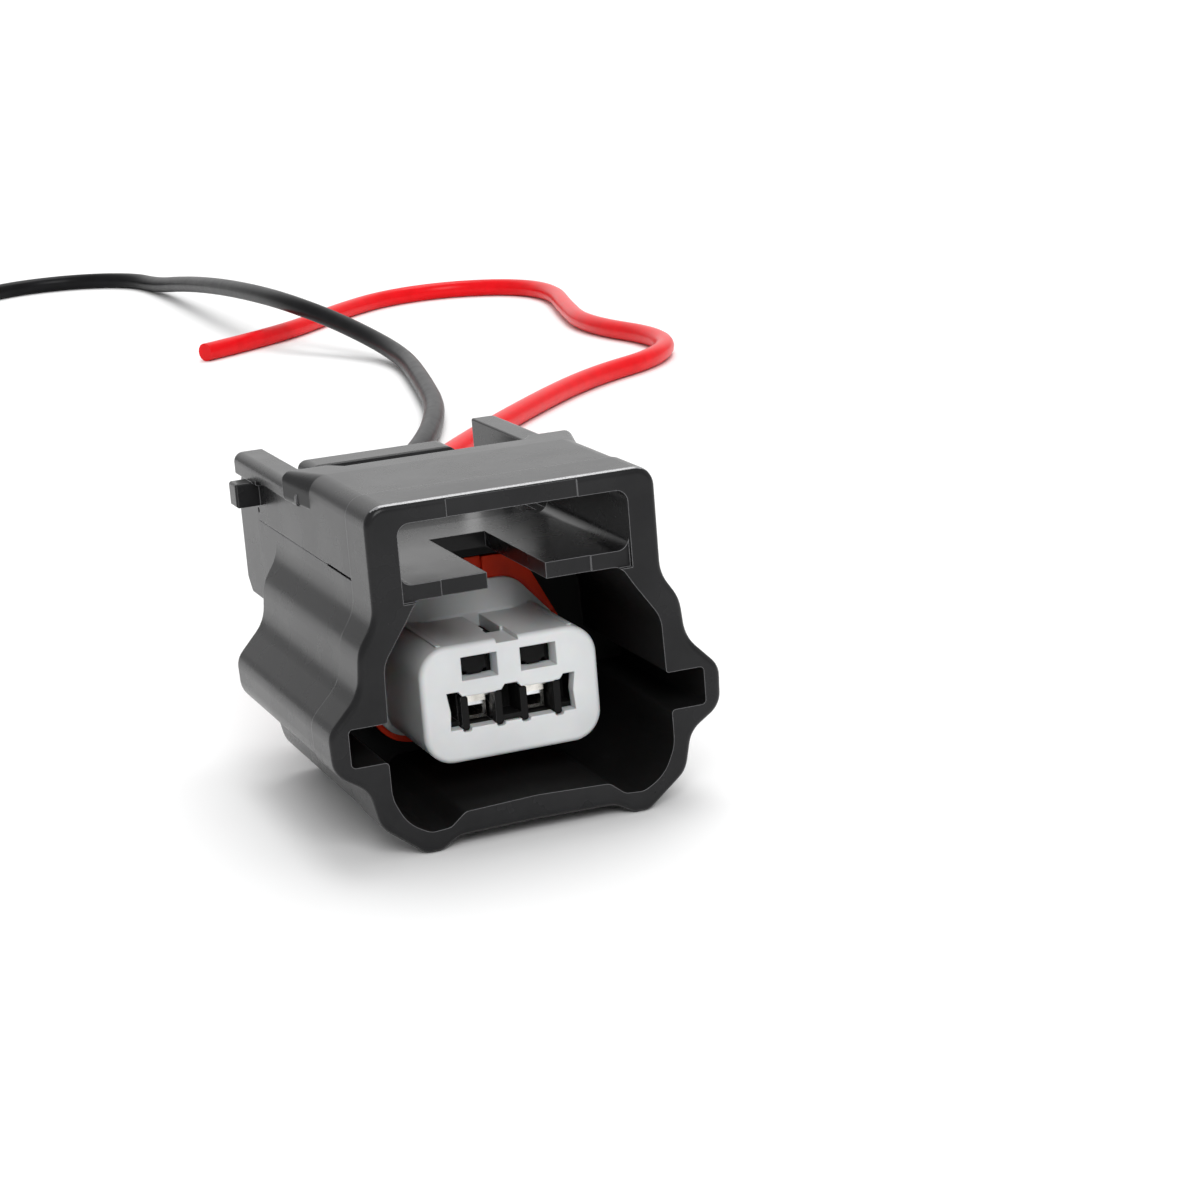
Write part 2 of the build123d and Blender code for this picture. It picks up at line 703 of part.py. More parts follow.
for side, x in terminals.items():
    # socket terminal: box, neck, conductor barrel, sloping neck and insulation barrel
    with BuildPart() as terminal:
        with BuildSketch(rim_plane(box_start)):
            with Locations((x, box_axis)):
                RectangleRounded(box_width, box_height, sheet)
                Rectangle(box_width - 2 * sheet, box_height - 2 * sheet, mode=Mode.SUBTRACT)
        extrude(amount=-box_length)
        with BuildSketch(rim_plane(box_start)):
            with Locations((x, barrel_floor)):
                Rectangle(box_width, box_height / 2, align=(Align.CENTER, Align.MIN))
            with Locations((x, barrel_floor + sheet)):
                Rectangle(
                    box_width - 2 * sheet, box_height, align=(Align.CENTER, Align.MIN), mode=Mode.SUBTRACT
                )
        extrude(amount=box_start - brush_plane + 2 * crimp_gap)
        with BuildSketch(rim_plane(box_start)):
            with Locations((x, barrel_floor)):
                Rectangle(box_width - 2 * sheet, sheet, align=(Align.CENTER, Align.MIN))
        extrude(amount=box_start - barrel_start - sheet)
        with BuildSketch(rim_plane(barrel_start)):
            with Locations((x, axis_height)):
                Circle(conductor_diameter / 2 + sheet + crimp_gap)
                Circle(conductor_diameter / 2 + crimp_gap, mode=Mode.SUBTRACT)
                with Locations((0, conductor_diameter / 2 + sheet)):
                    Rectangle(seam_width, sheet, mode=Mode.SUBTRACT)
        extrude(amount=-barrel_length)
        with BuildSketch(side_plane(x)):
            with BuildLine():
                Polyline(
                    (rim_y(barrel_start + barrel_length - sheet), barrel_floor),
                    (rim_y(wing_start), wing_floor),
                    (rim_y(seal_neck_start - fold_step), wing_floor),
                    (rim_y(seal_neck_start - fold_step), wing_floor + sheet),
                    (rim_y(wing_start), wing_floor + sheet),
                    (rim_y(barrel_start + barrel_length), barrel_floor + sheet),
                    (rim_y(barrel_start + barrel_length - sheet), barrel_floor + sheet),
                    close=True,
                )
            make_face()
        extrude(amount=barrel_width / 4, both=True)
        with BuildSketch(rim_plane(wing_start)):
            with Locations((x, axis_height)):
                Circle(wing_outer / 2)
                Circle(seal_neck_diameter / 2 + crimp_gap, mode=Mode.SUBTRACT)
                with Locations((0, wing_outer / 2)):
                    Rectangle(seam_width, 2 * sheet, mode=Mode.SUBTRACT)
        extrude(amount=-wing_length)
        # floor and sides are cut back at the mouth, under the folded top edge
        with BuildSketch(rim_plane(box_start)):
            with Locations((x, barrel_floor - sheet)):
                Rectangle(2 * box_width, box_height, align=(Align.CENTER, Align.MIN))
        extrude(amount=-mouth_cut, mode=Mode.SUBTRACT)
        with BuildSketch(rim_plane(box_start)):
            with Locations((x, barrel_floor + box_height - sheet / 2)):
                Rectangle(box_width - 2 * sheet, lip_height, align=(Align.CENTER, Align.MAX))
        extrude(amount=-sheet)
        # hole that the lance drops into
        with BuildSketch(Plane.XY.offset(box_axis + box_height / 4)):
            with Locations((x, rim_y(box_start + box_length / 2))):
                Rectangle(box_width - 3 * sheet, lance_tip_length)
        extrude(amount=box_height, mode=Mode.SUBTRACT)
    terminal.part.label = f"terminal_{side}"
    export_step(terminal.part, f"parts/terminal_{side}.step")

    # contact spring: a leaf against the ceiling of the box, bowed down in the middle
    leaf_top = box_axis + box_height / 2 - sheet
    leaf_start = rim_y(box_start + tongue_setback)
    leaf_end = leaf_start + tongue_length
    leaf_middle = leaf_start + tongue_length / 2
    with BuildPart() as contact_spring:
        with BuildSketch(side_plane(x)):
            with BuildLine():
                Polyline(
                    (leaf_start, leaf_top - tongue_fold),
                    (leaf_start, leaf_top),
                    (leaf_start + leaf_flat, leaf_top),
                    (leaf_middle, leaf_top - tongue_drop),
                    (leaf_end - leaf_flat, leaf_top),
                    (leaf_end, leaf_top),
                    (leaf_end, leaf_top - leaf_sheet),
                    (leaf_end - leaf_flat, leaf_top - leaf_sheet),
                    (leaf_middle, leaf_top - tongue_drop - leaf_sheet),
                    (leaf_start + leaf_flat, leaf_top - leaf_sheet),
                    (leaf_start + leaf_sheet, leaf_top - leaf_sheet),
                    (leaf_start + leaf_sheet, leaf_top - tongue_fold),
                    close=True,
                )
            make_face()
        extrude(amount=tongue_width / 2, both=True)
    contact_spring.part.label = f"contact_spring_{side}"
    export_step(contact_spring.part, f"parts/contact_spring_{side}.step")

    # bare strands in the conductor barrel
    with BuildPart() as conductor:
        with BuildSketch(rim_plane(brush_plane)):
            with Locations((x, axis_height)):
                Circle(conductor_diameter / 2)
        extrude(amount=brush_plane - strip_plane)
    conductor.part.label = f"conductor_{side}"
    export_step(conductor.part, f"parts/conductor_{side}.step")

    # wire seal: a neck in the insulation barrel, then a body with three ribs in the bore
    with BuildPart() as wire_seal:
        with BuildSketch(rim_plane(seal_neck_start)):
            with Locations((x, axis_height)):
                Circle(seal_neck_diameter / 2)
        extrude(amount=seal_neck_start - seal_body_start)
        with BuildSketch(rim_plane(seal_body_start)):
            with Locations((x, axis_height)):
                Circle(seal_body_diameter / 2)
        extrude(amount=seal_body_start - seal_body_end)
        for i in range(seal_rib_count):
            rib_start = seal_body_start + (i + 0.5) * seal_rib_pitch - seal_rib_width / 2
            with BuildSketch(rim_plane(rib_start)):
                with Locations((x, axis_height)):
                    Circle(seal_rib_diameter / 2)
            extrude(amount=-seal_rib_width)
        with BuildSketch(rim_plane(seal_neck_start)):
            with Locations((x, axis_height)):
                Circle(wire_diameter / 2 + crimp_gap)
        extrude(amount=seal_neck_start - seal_body_end, mode=Mode.SUBTRACT)
    wire_seal.part.label = f"wire_seal_{side}"
    export_step(wire_seal.part, f"parts/wire_seal_{side}.step")

# Wires: from the crimp, out through the seal, down to the surface and along it
wire_start = rim_y(strip_plane)
lying = wire_diameter / 2
routes = {
    "wire_black": [
        (terminals["left"], wire_start, axis_height),
        (terminals["left"], 27, axis_height),
        (2, 55, lying),
        (14, 84, lying),
        (32, 110, lying),
        (44.5, 138, lying),
        (50.5, 163, lying),
        (55.5, 187, lying),
        (52, 203, 4.4),
        (47.2, 214, crossing_height),
        (46, 231, crossing_height),
        (46.3, 254, 5.6),
        (46.8, 278, 3.6),
        (46.8, 299, lying),
        (45.3, 311, lying),
        (37.2, 319.4, lying),
        (25.5, 320.3, lying),
        (16, 312.5, lying),
        (9.5, 304, lying),
    ],
    "wire_red": [
        (terminals["right"], wire_start, axis_height),
        (terminals["right"], 27, axis_height),
        (7, 55, lying),
        (18, 83, lying),
        (34.5, 109, lying),
        (52.5, 131.5, lying),
        (68, 148.5, lying),
        (82, 157, lying),
        (88.5, 171, lying),
        (84.5, 192, lying),
        (89, 211.5, lying),
        (93.5, 228, lying),
        (92, 240, lying),
        (83.3, 247.4, lying),
        (72, 247, lying),
        (61.5, 238.2, lying),
        (47.5, 221.7, lying),
        (34, 213.7, lying),
    ],
}
for name, points in routes.items():
    runs = [Vector(*b) - Vector(*a) for a, b in zip(points, points[1:])]
    bends = []
    for before, after in zip(runs, runs[1:]):
        half_turn = radians(before.get_angle(after) / 2)
        bends.append(0.45 * min(before.length, after.length) / tan(half_turn))
    print(name, "bend radii", [round(bend) for bend in bends])
    with BuildPart() as wire:
        with BuildLine():
            route = FilletPolyline(*points, radius=bends)
        with BuildSketch(rim_plane(strip_plane)):
            with Locations((points[0][0], axis_height)):
                Circle(wire_diameter / 2)
        sweep(path=route)
    print(name, "length", round(route.length, 1), "volume", round(wire.part.volume, 1))
    wire.part.label = name
    export_step(wire.part, f"parts/{name}.step")
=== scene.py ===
from math import radians, tau

import bmesh
import bpy
from mathutils import Matrix, Vector


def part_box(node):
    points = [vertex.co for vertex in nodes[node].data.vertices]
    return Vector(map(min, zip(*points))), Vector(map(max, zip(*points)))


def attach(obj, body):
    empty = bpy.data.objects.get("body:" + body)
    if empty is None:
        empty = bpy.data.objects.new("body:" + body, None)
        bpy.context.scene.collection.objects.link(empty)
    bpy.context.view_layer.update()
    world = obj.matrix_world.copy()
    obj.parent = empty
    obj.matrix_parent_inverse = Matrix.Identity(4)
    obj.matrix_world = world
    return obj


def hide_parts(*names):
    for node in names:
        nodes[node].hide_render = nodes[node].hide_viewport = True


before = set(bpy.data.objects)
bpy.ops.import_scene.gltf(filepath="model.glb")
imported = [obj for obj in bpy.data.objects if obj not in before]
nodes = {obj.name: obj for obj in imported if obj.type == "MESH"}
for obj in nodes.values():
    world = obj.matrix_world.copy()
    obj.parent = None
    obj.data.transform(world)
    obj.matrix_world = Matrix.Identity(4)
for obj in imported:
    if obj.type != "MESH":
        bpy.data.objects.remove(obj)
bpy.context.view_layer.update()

scene = bpy.context.scene
mm = 0.001

# the photograph's view: a long lens, a little above the plug and to the left of its rim
photoView = {
    "place": (-60.12, -193.09, 61.46),  # mm
    "turn": (76.174, 4.467, -21.553),  # degrees
    "lens": 86.52,  # mm
    "sensor": 36,  # mm
    "nearest": 10,  # mm, nothing closer than this is drawn
}
cameraData = bpy.data.cameras.new("photoCamera")
cameraData.sensor_width = photoView["sensor"]
cameraData.lens = photoView["lens"]
cameraData.clip_start = photoView["nearest"] * mm
camera = bpy.data.objects.new("photoCamera", cameraData)
camera.location = Vector(photoView["place"]) * mm
camera.rotation_euler = [radians(angle) for angle in photoView["turn"]]
scene.collection.objects.link(camera)
scene.camera = camera
print("camera placed")


def toLinear(hexColour):
    channels = [int(hexColour[i:i + 2], 16) / 255 for i in (0, 2, 4)]
    return (*[c / 12.92 if c <= 0.04045 else ((c + 0.055) / 1.055) ** 2.4 for c in channels], 1)


def addNode(tree, kind, settings={}, values={}, links={}):
    node = tree.nodes.new(kind)
    for name, setting in settings.items():
        setattr(node, name, setting)
    for socket, value in values.items():
        node.inputs[socket].default_value = value
    for socket, source in links.items():
        tree.links.new(source, node.inputs[socket])
    return node


def newMaterial(name):
    material = bpy.data.materials.new(name)
    material.use_nodes = True
    material.node_tree.nodes.clear()
    return material, material.node_tree


# Glass filled PBT, injection moulded black: near black, satin, with a faint cloud where the melt
# flowed, a fine spark-eroded grain, and a painted highlight on the rounded edges: a lighter
# colour that stands in for the light they catch. "shine", here and below, is the strength of the
# reflections, set against the photograph, where 0.5 is usual for plastic. Sizes and depths in all
# the looks are in mm.
housingLook = {
    "dark": "1c1c1d",
    "light": "242425",
    # painted highlight: a light grey for the rounded edges, standing in for the light they catch
    "paintedEdgeHighlight": "8e8e90",
    "flowSize": 6.0,
    "grainSize": 0.2,  # a tool's real grain is about 0.03 mm; drawn coarser, so that it shows
    "grainDepth": 0.0015,
    "edgeRadius": 0.1,
    "highlightFrom": 0.99,  # cosine between a face and the rounded edge beside it, where the painted highlight starts
    "highlightFull": 0.85,  # and where it is strongest
    "highlightShare": 0.8,  # share of the painted highlight colour there
    "roughness": (0.24, 0.3),
    "shine": 0.18,
}
# The next three are the same plastic. They differ to bring each place near the photograph's light,
# which doesn't show that the surfaces differ: darker, a painted shade, and duller inside the hood,
# glossier inside the tunnel, and lighter, a painted highlight, and glossier on the roof's rounded
# front edge, where the photograph has a bright line.
# painted shade: a darker colour for the faces inside the hood, where the shade falls
cavityLook = dict(
    housingLook,
    dark="0b0b0b", light="0f0f0f", paintedEdgeHighlight="161616", grainSize=0.3, roughness=(0.6, 0.7), shine=0.2,
)
tunnelLook = dict(housingLook, shine=0.42)
# painted highlight: a lighter colour on the roof's rounded front edge, along with a real lower roughness and
# stronger reflection
rimHighlightLook = dict(
    housingLook,
    dark="808082", light="8c8c8e", paintedEdgeHighlight="8c8c8e",
    grainDepth=0, edgeRadius=0.2, roughness=(0.1, 0.14), shine=1,
)


def mouldBlackPlastic(name, look):
    material, tree = newMaterial(name)
    spot = addNode(tree, "ShaderNodeTexCoord").outputs["Object"]
    flow = addNode(
        tree, "ShaderNodeTexNoise", {},
        {"Scale": 1 / (look["flowSize"] * mm), "Detail": 4, "Roughness": 0.6}, {"Vector": spot},
    )
    colour = addNode(tree, "ShaderNodeValToRGB", {}, {}, {"Fac": flow.outputs["Fac"]})
    colour.color_ramp.elements[0].position = 0.35
    colour.color_ramp.elements[0].color = toLinear(look["dark"])
    colour.color_ramp.elements[1].position = 0.65
    colour.color_ramp.elements[1].color = toLinear(look["light"])
    gloss = addNode(
        tree, "ShaderNodeMapRange", {},
        {"From Min": 0.3, "From Max": 0.7, "To Min": look["roughness"][0], "To Max": look["roughness"][1]},
        {"Value": flow.outputs["Fac"]},
    )
    # painted highlight: the colour is mixed towards a light grey where the rounded edge turns away from the
    # face
    softEdge = addNode(tree, "ShaderNodeBevel", {"samples": 8}, {"Radius": look["edgeRadius"] * mm})
    trueFace = addNode(tree, "ShaderNodeNewGeometry")
    facing = addNode(
        tree, "ShaderNodeVectorMath", {"operation": "DOT_PRODUCT"}, {},
        {0: softEdge.outputs["Normal"], 1: trueFace.outputs["True Normal"]},
    )
    edge = addNode(
        tree, "ShaderNodeMapRange", {},
        {"From Min": look["highlightFrom"], "From Max": look["highlightFull"], "To Min": 0, "To Max": look["highlightShare"]},
        {"Value": facing.outputs["Value"]},
    )
    edgeHighlighted = addNode(
        tree, "ShaderNodeMix", {"data_type": "RGBA"}, {7: toLinear(look["paintedEdgeHighlight"])},
        {0: edge.outputs["Result"], 6: colour.outputs["Color"]},
    )
    grain = addNode(
        tree, "ShaderNodeTexNoise", {},
        {"Scale": 1 / (look["grainSize"] * mm), "Detail": 2, "Roughness": 0.5}, {"Vector": spot},
    )
    bump = addNode(
        tree, "ShaderNodeBump", {}, {"Strength": 0.5, "Distance": look["grainDepth"] * mm},
        {"Height": grain.outputs["Fac"], "Normal": softEdge.outputs["Normal"]},
    )
    shader = addNode(
        tree, "ShaderNodeBsdfPrincipled", {}, {"IOR": 1.5, "Specular IOR Level": look["shine"]},
        {
            "Base Color": edgeHighlighted.outputs[2],
            "Roughness": gloss.outputs["Result"],
            "Normal": bump.outputs["Normal"],
        },
    )
    addNode(tree, "ShaderNodeOutputMaterial", {}, {}, {"Surface": shader.outputs["BSDF"]})
    return material


# Natural PBT, injection moulded light grey: opaque but slightly milky, smooth, so that its
# rounded edges catch a thin white line.
retainerLook = {
    "dark": "cfd1d2",
    "light": "dbddde",
    "flowSize": 5.0,
    "grainSize": 0.25,  # drawn coarser than a real grain of about 0.03 mm
    "grainDepth": 0.002,
    "edgeRadius": 0.16,
    "roughness": (0.34, 0.42),
    "milk": 0.2,  # share of the light that spreads under the surface
    "milkDepth": 0.5,
    "ior": 1.5,
    "shine": 0.3,
}
# Liquid silicone rubber, moulded brick red: soft, a little translucent, dull where it is rubbed
siliconeLook = {
    "dark": "c02a0c",
    "light": "d63310",
    "flowSize": 2.0,
    "grainSize": 0.18,  # drawn coarser than the real surface, so that it shows
    "grainDepth": 0.004,
    "edgeRadius": 0.12,
    "roughness": (0.38, 0.5),
    "milk": 0.15,
    "milkDepth": 0.4,
    "ior": 1.41,
    "shine": 0.15,
}


def mouldMilkyPlastic(name, look):
    material, tree = newMaterial(name)
    spot = addNode(tree, "ShaderNodeTexCoord").outputs["Object"]
    flow = addNode(
        tree, "ShaderNodeTexNoise", {},
        {"Scale": 1 / (look["flowSize"] * mm), "Detail": 3, "Roughness": 0.5}, {"Vector": spot},
    )
    colour = addNode(tree, "ShaderNodeValToRGB", {}, {}, {"Fac": flow.outputs["Fac"]})
    colour.color_ramp.elements[0].position = 0.3
    colour.color_ramp.elements[0].color = toLinear(look["dark"])
    colour.color_ramp.elements[1].position = 0.7
    colour.color_ramp.elements[1].color = toLinear(look["light"])
    gloss = addNode(
        tree, "ShaderNodeMapRange", {},
        {"From Min": 0.3, "From Max": 0.7, "To Min": look["roughness"][0], "To Max": look["roughness"][1]},
        {"Value": flow.outputs["Fac"]},
    )
    grain = addNode(
        tree, "ShaderNodeTexNoise", {},
        {"Scale": 1 / (look["grainSize"] * mm), "Detail": 2, "Roughness": 0.5}, {"Vector": spot},
    )
    softEdge = addNode(tree, "ShaderNodeBevel", {"samples": 8}, {"Radius": look["edgeRadius"] * mm})
    bump = addNode(
        tree, "ShaderNodeBump", {}, {"Strength": 0.5, "Distance": look["grainDepth"] * mm},
        {"Height": grain.outputs["Fac"], "Normal": softEdge.outputs["Normal"]},
    )
    shader = addNode(
        tree, "ShaderNodeBsdfPrincipled", {},
        {
            "IOR": look["ior"],
            "Specular IOR Level": look["shine"],
            "Subsurface Weight": look["milk"],
            "Subsurface Scale": look["milkDepth"] * mm,
        },
        {
            "Base Color": colour.outputs["Color"],
            "Roughness": gloss.outputs["Result"],
            "Normal": bump.outputs["Normal"],
        },
    )
    addNode(tree, "ShaderNodeOutputMaterial", {}, {}, {"Surface": shader.outputs["BSDF"]})
    return material


# Copper alloy strip, rolled, stamped and tin plated: bright warm white metal with fine rolling
# lines along the terminal. The springs are bare stainless strip, colder and smoother.
tinLook = {
    "dark": "c4c1ba",
    "light": "e6e3dd",
    "lineSize": 0.12,  # real rolling lines are finer, these are drawn coarser so that they show
    "lineDepth": 0.002,
    "lineStretch": 0.08,  # the lines run front to back
    "tarnishSize": 0.9,
    "roughness": (0.16, 0.28),
}
springLook = dict(
    tinLook, dark="c2c4c6", light="e2e4e6", lineSize=0.08, lineDepth=0.001, roughness=(0.12, 0.2)
)
# Bare copper wire, drawn: polished by the die, with darker oxide patches
copperLook = dict(tinLook, dark="9c5230", light="d98a5c", lineSize=0.1, roughness=(0.22, 0.34))


def drawMetal(name, look):
    material, tree = newMaterial(name)
    spot = addNode(tree, "ShaderNodeTexCoord").outputs["Object"]
    along = addNode(tree, "ShaderNodeMapping", {}, {"Scale": (1, look["lineStretch"], 1)}, {"Vector": spot})
    lines = addNode(
        tree, "ShaderNodeTexNoise", {},
        {"Scale": 1 / (look["lineSize"] * mm), "Detail": 3, "Roughness": 0.6},
        {"Vector": along.outputs["Vector"]},
    )
    tarnish = addNode(
        tree, "ShaderNodeTexNoise", {},
        {"Scale": 1 / (look["tarnishSize"] * mm), "Detail": 3, "Roughness": 0.5}, {"Vector": spot},
    )
    colour = addNode(tree, "ShaderNodeValToRGB", {}, {}, {"Fac": tarnish.outputs["Fac"]})
    colour.color_ramp.elements[0].position = 0.3
    colour.color_ramp.elements[0].color = toLinear(look["dark"])
    colour.color_ramp.elements[1].position = 0.6
    colour.color_ramp.elements[1].color = toLinear(look["light"])
    gloss = addNode(
        tree, "ShaderNodeMapRange", {},
        {"From Min": 0.3, "From Max": 0.7, "To Min": look["roughness"][0], "To Max": look["roughness"][1]},
        {"Value": lines.outputs["Fac"]},
    )
    bump = addNode(
        tree, "ShaderNodeBump", {}, {"Strength": 0.4, "Distance": look["lineDepth"] * mm},
        {"Height": lines.outputs["Fac"]},
    )
    shader = addNode(
        tree, "ShaderNodeBsdfPrincipled", {}, {"Metallic": 1},
        {
            "Base Color": colour.outputs["Color"],
            "Roughness": gloss.outputs["Result"],
            "Normal": bump.outputs["Normal"],
        },
    )
    addNode(tree, "ShaderNodeOutputMaterial", {}, {}, {"Surface": shader.outputs["BSDF"]})
    return material


# Cross-linked polyethylene, extruded over the strands: smooth and half glossy, with faint
# unevenness along the wire and dull scuffs from handling.
blackCoatLook = {
    "dark": "131314",
    "light": "18181a",
    "scuffSize": 2.5,
    "waveDepth": 0.004,
    "roughness": (0.32, 0.38),
    "shine": 0.1,
}
redCoatLook = dict(
    blackCoatLook, dark="da0c14", light="e6101a", waveDepth=0.001, roughness=(0.28, 0.32), shine=0.15
)


def extrudeCoat(name, look):
    material, tree = newMaterial(name)
    spot = addNode(tree, "ShaderNodeTexCoord").outputs["Object"]
    scuff = addNode(
        tree, "ShaderNodeTexNoise", {},
        {"Scale": 1 / (look["scuffSize"] * mm), "Detail": 5, "Roughness": 0.65}, {"Vector": spot},
    )
    colour = addNode(tree, "ShaderNodeValToRGB", {}, {}, {"Fac": scuff.outputs["Fac"]})
    colour.color_ramp.elements[0].position = 0.35
    colour.color_ramp.elements[0].color = toLinear(look["dark"])
    colour.color_ramp.elements[1].position = 0.65
    colour.color_ramp.elements[1].color = toLinear(look["light"])
    gloss = addNode(
        tree, "ShaderNodeMapRange", {},
        {"From Min": 0.35, "From Max": 0.65, "To Min": look["roughness"][0], "To Max": look["roughness"][1]},
        {"Value": scuff.outputs["Fac"]},
    )
    bump = addNode(
        tree, "ShaderNodeBump", {}, {"Strength": 0.3, "Distance": look["waveDepth"] * mm},
        {"Height": scuff.outputs["Fac"]},
    )
    shader = addNode(
        tree, "ShaderNodeBsdfPrincipled", {}, {"IOR": 1.5, "Specular IOR Level": look["shine"]},
        {
            "Base Color": colour.outputs["Color"],
            "Roughness": gloss.outputs["Result"],
            "Normal": bump.outputs["Normal"],
        },
    )
    addNode(tree, "ShaderNodeOutputMaterial", {}, {}, {"Surface": shader.outputs["BSDF"]})
    return material


housingPbt = mouldBlackPlastic("Glass filled PBT, moulded black", housingLook)
rimHighlightPbt = mouldBlackPlastic("Glass filled PBT, glossy rim edge with painted highlight", rimHighlightLook)
tunnelPbt = mouldBlackPlastic("Glass filled PBT, glossy tunnel side", tunnelLook)
cavityPbt = mouldBlackPlastic("Glass filled PBT, dull cavity side with painted shade", cavityLook)
retainerPbt = mouldMilkyPlastic("Natural PBT, moulded light grey", retainerLook)
sealSilicone = mouldMilkyPlastic("Silicone rubber, moulded brick red", siliconeLook)
tinPlate = drawMetal("Tin plated copper alloy, stamped", tinLook)
springStrip = drawMetal("Stainless spring strip, stamped", springLook)
bareCopper = drawMetal("Bare copper, drawn", copperLook)
blackCoat = extrudeCoat("Cross-linked polyethylene, extruded black", blackCoatLook)
redCoat = extrudeCoat("Cross-linked polyethylene, extruded red", redCoatLook)

finishes = {
    "housing": housingPbt,
    "front_retainer": retainerPbt,
    "ring_seal": sealSilicone,
    "wire_seal_left": sealSilicone,
    "wire_seal_right": sealSilicone,
    "terminal_left": tinPlate,
    "terminal_right": tinPlate,
    "contact_spring_left": springStrip,
    "contact_spring_right": springStrip,
}
for name, material in finishes.items():
    mesh = nodes[name].data
    mesh.materials.clear()
    mesh.materials.append(material)

# Which of the housing's faces take the other three looks: the cavity's faces between the rim and the
# ring seal that look inwards, the upper part of the roof's rounded front edge, and the tunnel's
# faces that don't look forwards. Places are in mm from the part's origin; "steepest", "flattest"
# and "forward" bound a part of the face's normal.
cavityFaces = {
    "halfWidth": 13.2, "bottom": 0.9, "middle": 9, "top": 17.4, "front": -16.5, "back": -1.3, "outward": 0.1,
}
rimHighlightFaces = {"bottom": 21, "back": -16.2, "steepest": 0.75, "flattest": 0.99, "forward": -0.1}
tunnelFaces = {"halfWidth": 9.6, "bottom": 17.4, "top": 23.3, "back": -1, "forward": -0.5}
housingMesh = nodes["housing"].data
for material in (cavityPbt, rimHighlightPbt, tunnelPbt):
    housingMesh.materials.append(material)
for face in housingMesh.polygons:
    x, y, z = face.center / mm
    normal = face.normal
    inHeight = cavityFaces["bottom"] < z < cavityFaces["top"]
    inDepth = cavityFaces["front"] < y < cavityFaces["back"]
    inward = normal.x * x + normal.z * (z - cavityFaces["middle"]) < cavityFaces["outward"]
    # the cavity's inward faces take the darker copy, a painted shade
    if inHeight and inDepth and inward and abs(x) < cavityFaces["halfWidth"]:
        face.material_index = 1
    # the upper part of the roof's rounded front edge takes the lighter copy, a painted highlight
    rounded = rimHighlightFaces["steepest"] < normal.z < rimHighlightFaces["flattest"]
    atFront = z > rimHighlightFaces["bottom"] and y < rimHighlightFaces["back"]
    if rounded and atFront and normal.y < rimHighlightFaces["forward"]:
        face.material_index = 2
    inTunnel = tunnelFaces["bottom"] < z < tunnelFaces["top"] and y < tunnelFaces["back"]
    if inTunnel and abs(x) < tunnelFaces["halfWidth"] and normal.y > tunnelFaces["forward"]:
        face.material_index = 3
print("CAD nodes have their materials")


# the bare strands in each crimp: one in the middle, six round it and twelve outside, twisted
strands = {
    "bundle": 1.6,  # mm over the outer layer
    "rings": {1: 0, 6: 1, 12: 2},  # strands in each layer: strand diameters from the middle
    "twist": 70,  # degrees over the crimp
    "steps": 8,  # sections along the crimp
    "sides": 10,  # of each strand
    "gap": 0.01,  # mm left free round each strand
}
thick = strands["bundle"] * mm / 5  # five strands lie side by side across the bundle
sectionRadius = thick / 2 - strands["gap"] * mm
for side in ("left", "right"):
    low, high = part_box(f"conductor_{side}")
    middle = (low + high) / 2
    stepTurn = Matrix.Rotation(radians(strands["twist"] / strands["steps"]), 4, "Y")
    stepAhead = Vector((0, (high.y - low.y) / strands["steps"], 0))
    bm = bmesh.new()
    for count, ring in strands["rings"].items():
        for i in range(count):
            turn = Matrix.Rotation(tau * i / count, 4, "Y")
            spot = turn @ Vector((ring * thick, 0, 0))
            place = Matrix.Translation((spot.x, low.y - middle.y, spot.z))
            start = place @ Matrix.Rotation(radians(90), 4, "X")
            made = bmesh.ops.create_circle(
                bm, cap_ends=True, segments=strands["sides"], radius=sectionRadius, matrix=start
            )
            front = list({face for corner in made["verts"] for face in corner.link_faces})
            for step in range(strands["steps"]):
                longer = bmesh.ops.extrude_face_region(bm, geom=front)
                corners = [part for part in longer["geom"] if isinstance(part, bmesh.types.BMVert)]
                front = [part for part in longer["geom"] if isinstance(part, bmesh.types.BMFace)]
                bmesh.ops.rotate(bm, cent=(0, 0, 0), matrix=stepTurn, verts=corners)
                bmesh.ops.translate(bm, vec=stepAhead, verts=corners)
    bmesh.ops.recalc_face_normals(bm, faces=bm.faces)
    bmesh.ops.translate(bm, vec=middle, verts=bm.verts)
    mesh = bpy.data.meshes.new(f"copper_strands_{side}")
    bm.to_mesh(mesh)
    bm.free()
    mesh.materials.append(bareCopper)
    for face in mesh.polygons:
        face.use_smooth = len(face.vertices) == 4  # round sides, flat cut ends
    bundle = bpy.data.objects.new(f"copper_strands_{side}", mesh)
    scene.collection.objects.link(bundle)
    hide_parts(f"conductor_{side}")
    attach(bundle, "root")
print("strands twisted")


